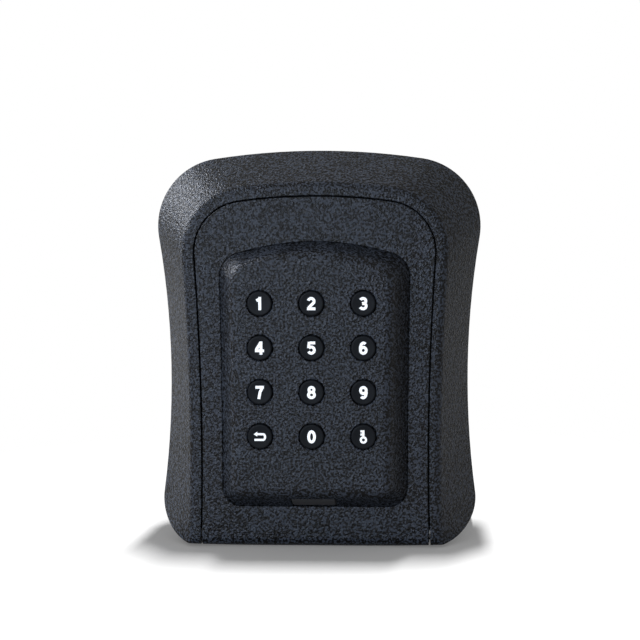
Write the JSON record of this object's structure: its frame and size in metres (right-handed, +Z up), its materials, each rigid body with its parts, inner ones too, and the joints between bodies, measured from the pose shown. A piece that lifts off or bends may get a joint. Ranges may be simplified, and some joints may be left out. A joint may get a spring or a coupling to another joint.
{
  "type": "electronic key safe",
  "caption": "Black wall key box with waisted sides, a bevelled rim, a drop-down door with a raised keypad, a motor-driven bolt and a battery bay.",
  "frame": {"origin": "centre of the back face, which lies on the wall", "axes": "+X to the right seen from the front, +Y into the wall, +Z up"},
  "size_m": [0.1, 0.0463, 0.12],
  "materials": {
    "cast_black": "fine-grained black powder coat",
    "panel_black": "fine-grained black",
    "key_black": "smooth matte black",
    "seal_rubber": "matte",
    "steel": "zinc-plated steel",
    "board_green": "solder mask",
    "chip_black": "moulded",
    "brass": "turned",
    "cell_wrap": "wrapped cell, given the density of aluminium as the nearest to a real cell",
    "nickel": "nickel plate",
    "liner_grey": "moulded dark grey",
    "chassis_white": "moulded natural white",
    "lead_red": "insulated lead"
  },
  "bodies": {
    "box": {"housing": "cast_black", "hinge_pin": "steel", "door_seal": "seal_rubber", "strike_plate": "steel", "strike_screws": "steel", "key_hook": "steel", "hook_screws": "steel"},
    "door": {"door_frame": "cast_black", "fascia": "panel_black", "fascia_screws": "steel", "keypad_mat": "seal_rubber", "main_board": "board_green", "board_screws": "steel", "power_socket": "steel", "board_chips": "chip_black", "motor_plug": "chassis_white", "buzzer": "chip_black", "door_liner": "liner_grey", "liner_screws": "steel", "battery_cover": "liner_grey", "cover_screw": "steel", "batteries": "cell_wrap", "battery_contacts": "nickel", "battery_springs": "nickel", "lock_chassis": "chassis_white", "lock_screws": "steel", "gearbox": "brass", "motor_can": "steel", "motor_strap": "steel", "strap_screws": "steel", "motor_leads": "lead_red"},
    "bolt": {"latch_bolt": "steel"},
    "pinion": {"drive_pinion": "brass"},
    "flap": {"port_cover": "seal_rubber"},
    "button_1": {"key_1": "key_black"},
    "button_2": {"key_2": "key_black"},
    "button_3": {"key_3": "key_black"},
    "button_4": {"key_4": "key_black"},
    "button_5": {"key_5": "key_black"},
    "button_6": {"key_6": "key_black"},
    "button_7": {"key_7": "key_black"},
    "button_8": {"key_8": "key_black"},
    "button_9": {"key_9": "key_black"},
    "button_return": {"key_return": "key_black"},
    "button_0": {"key_0": "key_black"},
    "button_open": {"key_open": "key_black"}
  },
  "joints": [
    {"name": "door_hinge", "type": "hinge", "parent": "box", "child": "door", "pos_m": [0, -0.0342, -0.0562], "axis": [1, 0, 0], "range_deg": [0, 100]},
    {"name": "press_1", "type": "slide", "parent": "door", "child": "button_1", "axis": [0, 1, 0], "range_m": [0, 0.0008], "stiffness_N_per_m": 400},
    {"name": "press_2", "type": "slide", "parent": "door", "child": "button_2", "axis": [0, 1, 0], "range_m": [0, 0.0008], "stiffness_N_per_m": 400},
    {"name": "press_3", "type": "slide", "parent": "door", "child": "button_3", "axis": [0, 1, 0], "range_m": [0, 0.0008], "stiffness_N_per_m": 400},
    {"name": "press_4", "type": "slide", "parent": "door", "child": "button_4", "axis": [0, 1, 0], "range_m": [0, 0.0008], "stiffness_N_per_m": 400},
    {"name": "press_5", "type": "slide", "parent": "door", "child": "button_5", "axis": [0, 1, 0], "range_m": [0, 0.0008], "stiffness_N_per_m": 400},
    {"name": "press_6", "type": "slide", "parent": "door", "child": "button_6", "axis": [0, 1, 0], "range_m": [0, 0.0008], "stiffness_N_per_m": 400},
    {"name": "press_7", "type": "slide", "parent": "door", "child": "button_7", "axis": [0, 1, 0], "range_m": [0, 0.0008], "stiffness_N_per_m": 400},
    {"name": "press_8", "type": "slide", "parent": "door", "child": "button_8", "axis": [0, 1, 0], "range_m": [0, 0.0008], "stiffness_N_per_m": 400},
    {"name": "press_9", "type": "slide", "parent": "door", "child": "button_9", "axis": [0, 1, 0], "range_m": [0, 0.0008], "stiffness_N_per_m": 400},
    {"name": "press_return", "type": "slide", "parent": "door", "child": "button_return", "axis": [0, 1, 0], "range_m": [0, 0.0008], "stiffness_N_per_m": 400},
    {"name": "press_0", "type": "slide", "parent": "door", "child": "button_0", "axis": [0, 1, 0], "range_m": [0, 0.0008], "stiffness_N_per_m": 400},
    {"name": "press_open", "type": "slide", "parent": "door", "child": "button_open", "axis": [0, 1, 0], "range_m": [0, 0.0008], "stiffness_N_per_m": 400},
    {"name": "bolt_slide", "type": "slide", "parent": "door", "child": "bolt", "axis": [0, 0, 1], "range_m": [0, 0.0058]},
    {"name": "pinion_spin", "type": "hinge", "parent": "door", "child": "pinion", "pos_m": [0, -0.0283, 0.024], "axis": [-1, 0, 0], "range_deg": [0, 95]},
    {"name": "flap_hinge", "type": "hinge", "parent": "door", "child": "flap", "pos_m": [0, -0.04218, -0.04418], "axis": [-1, 0, 0], "range_deg": [0, 100]}
  ],
  "couplings": [
    {"joint": "pinion_spin", "follows": "bolt_slide", "rad_per_m": 285.71}
  ]
}
